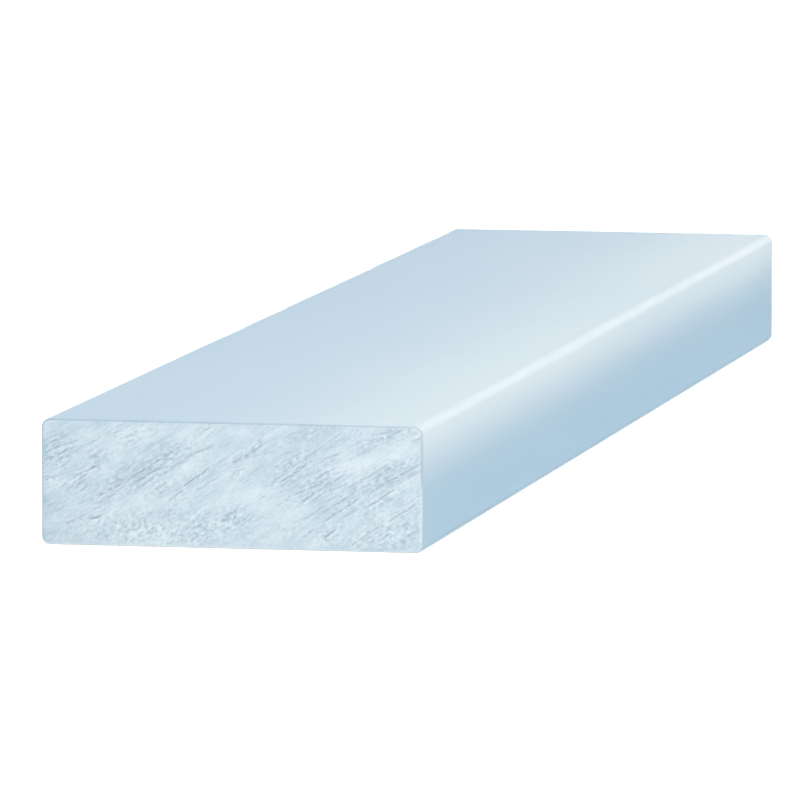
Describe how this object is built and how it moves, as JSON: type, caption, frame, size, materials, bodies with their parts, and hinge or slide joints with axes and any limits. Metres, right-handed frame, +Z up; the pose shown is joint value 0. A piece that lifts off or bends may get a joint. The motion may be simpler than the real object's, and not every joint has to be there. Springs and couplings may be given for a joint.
{
  "type": "pencil round moulding",
  "caption": "Short cut length of primed timber moulding, rectangular in section with its long edges rounded to a small pencil radius and its ends sawn square.",
  "frame": {"origin": "middle of the wide face that the moulding lies on", "axes": "+X across the width, +Y along the length from the near sawn end to the far one, +Z up through the thickness"},
  "size_m": [0.092, 0.5, 0.03],
  "materials": {
    "primed_timber": "satin pale blue primer over dressed softwood, end grain showing through it at the saw cuts"
  },
  "bodies": {
    "root": {"pencil_round_moulding": "primed_timber"}
  },
  "joints": []
}
